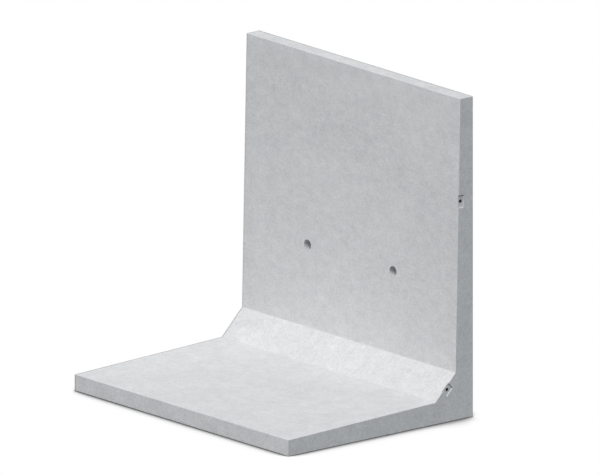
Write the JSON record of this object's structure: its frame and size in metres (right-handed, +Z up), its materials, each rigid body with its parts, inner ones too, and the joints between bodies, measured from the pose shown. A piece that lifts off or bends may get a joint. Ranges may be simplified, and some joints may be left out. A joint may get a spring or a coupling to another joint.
{
  "type": "precast concrete angle retaining wall unit",
  "caption": "L-shaped precast concrete retaining wall unit with battered stem, tapered base, haunch, lifting holes and, at one end, two pockets with threaded sockets for coupling.",
  "frame": {"origin": "middle of the footprint, on the ground", "axes": "X along the wall, +Y towards the plain outer face, +Z up"},
  "size_m": [2, 1.45, 1.992],
  "materials": {
    "concrete": "fair-faced grey concrete, matt",
    "socket_steel": "dull galvanised steel"
  },
  "bodies": {
    "root": {"wall_casting": "concrete", "stem_socket": "socket_steel", "haunch_socket": "socket_steel"}
  },
  "joints": []
}
